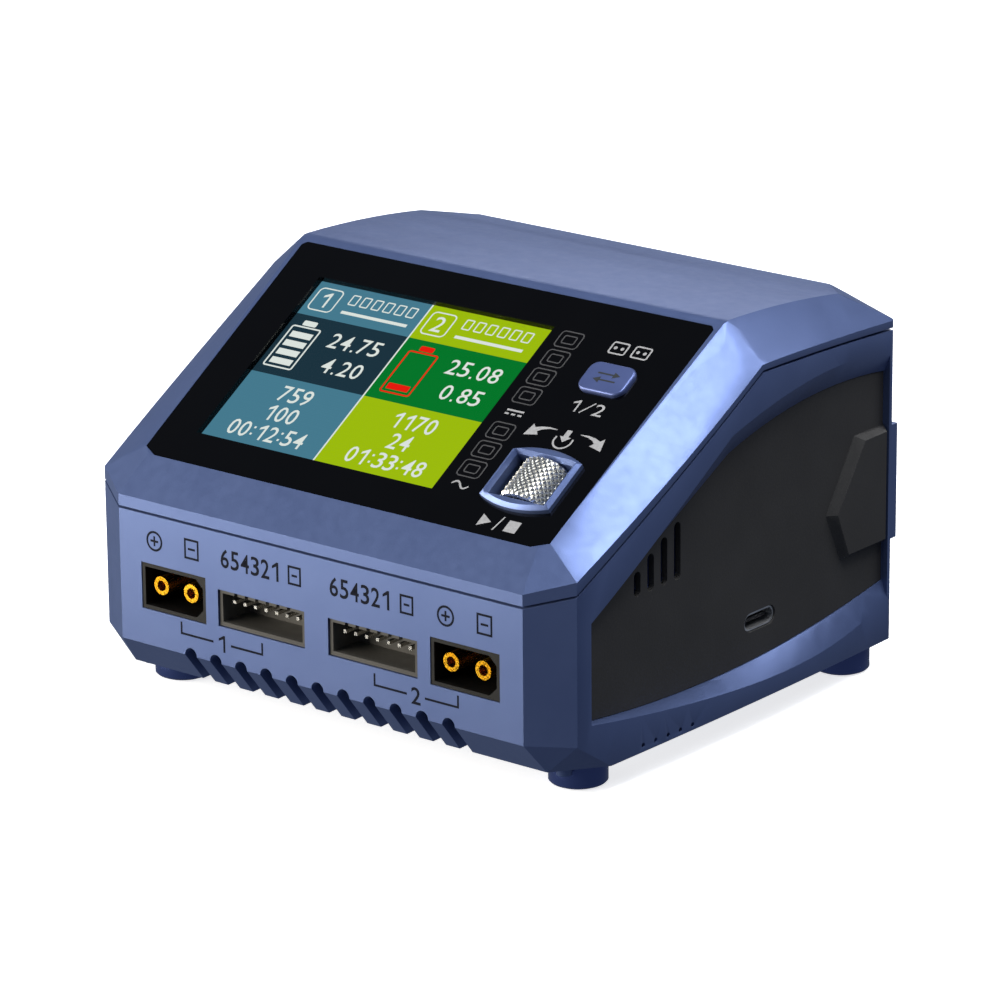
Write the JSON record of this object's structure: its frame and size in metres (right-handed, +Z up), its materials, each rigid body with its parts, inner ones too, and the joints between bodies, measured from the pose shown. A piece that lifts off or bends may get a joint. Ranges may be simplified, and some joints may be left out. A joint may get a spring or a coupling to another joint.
{
  "type": "balance battery charger",
  "caption": "Desktop balance charger for battery packs: wedge-shaped case with a sloped screen, press roller, port key, front output sockets and balance headers, and a rear fan.",
  "frame": {"origin": "middle of the whole object's footprint, on the plane its feet stand on", "axes": "+X to the right seen from the front, +Y from the front face to the rear, +Z up"},
  "size_m": [0.114, 0.101, 0.0755],
  "materials": {
    "case_blue": "satin moulded blue",
    "panel_dark": "fine matt dark grey",
    "lens_black": "polished black window",
    "screen": "lit colour display",
    "button_blue": "satin blue key",
    "roller_metal": "diamond knurled, bright",
    "steel": "bright zinc or stainless",
    "gold": "gold plated",
    "tin": "tin plated",
    "socket_black": "moulded black nylon",
    "header_grey": "moulded grey-brown nylon",
    "foot_black": "matt black",
    "rubber": "matt soft rubber",
    "board_green": "solder mask",
    "part_black": "moulded component",
    "screw_black": "black oxide",
    "copper": "enamelled copper wire",
    "ferrite": "sintered ferrite",
    "can_black": "sleeved aluminium can",
    "fuse_glass": "clear glass tube",
    "sink_metal": "extruded",
    "film": "amber polyester film",
    "ribbon_white": "flat ribbon"
  },
  "bodies": {
    "root": {"ac_inlet": "socket_black", "ac_inlet_pins": "tin", "balance_header_a": "header_grey", "balance_header_b": "header_grey", "balance_pins_a": "tin", "balance_pins_b": "tin", "board_screws": "steel", "buzzer": "part_black", "case_screws": "screw_black", "control_chip": "part_black", "dc_input_pins": "gold", "dc_input_socket": "socket_black", "display_board": "board_green", "display_lens": "lens_black", "display_screws": "steel", "encoder_base": "part_black", "encoder_switch": "part_black", "fan_frame": "part_black", "fan_screws": "steel", "filter_capacitors": "can_black", "foot_front_left": "foot_black", "foot_front_right": "foot_black", "foot_pads": "rubber", "foot_rear_left": "foot_black", "foot_rear_right": "foot_black", "heat_sink": "sink_metal", "inductor_cores": "ferrite", "inductor_windings": "copper", "insulation_sheet": "film", "lcd_frame": "part_black", "lcd_panel": "screen", "lower_case": "case_blue", "main_board": "board_green", "mains_capacitor": "can_black", "mains_fuse": "fuse_glass", "port_switch": "part_black", "power_board": "board_green", "power_board_posts": "steel", "power_pins_a": "gold", "power_pins_b": "gold", "power_socket_a": "socket_black", "power_socket_b": "socket_black", "power_transistors": "part_black", "rear_panel": "panel_dark", "ribbon_cable": "ribbon_white", "ribbon_connectors": "part_black", "roller_bezel": "case_blue", "side_panel_left": "panel_dark", "side_panel_right": "panel_dark", "transformer_core": "ferrite", "transformer_winding": "film", "upper_cover": "case_blue", "usb_port": "steel", "usb_tongue": "part_black"},
    "port_button_body": {"port_button": "button_blue", "port_switch_plunger": "part_black"},
    "encoder_carrier_body": {"encoder_carrier": "part_black"},
    "encoder_roller_body": {"encoder_roller": "roller_metal", "encoder_shaft": "steel"},
    "fan_rotor_body": {"fan_rotor": "part_black"}
  },
  "joints": [
    {"name": "port_button_press", "type": "slide", "parent": "root", "child": "port_button_body", "axis": [0, 0.5243, -0.8515], "range_m": [0, 0.0004], "stiffness_N_per_m": 600},
    {"name": "roller_press", "type": "slide", "parent": "root", "child": "encoder_carrier_body", "axis": [0, 0.5243, -0.8515], "range_m": [0, 0.0005], "stiffness_N_per_m": 1500},
    {"name": "roller_turn", "type": "hinge", "parent": "encoder_carrier_body", "child": "encoder_roller_body", "pos_m": [0.03495, -0.03078, 0.04951], "axis": [0, 0.8515, 0.5243], "continuous": true},
    {"name": "fan_spin", "type": "hinge", "parent": "root", "child": "fan_rotor_body", "pos_m": [-0.026, 0.03855, 0.0396], "axis": [0, 1, 0], "continuous": true}
  ]
}
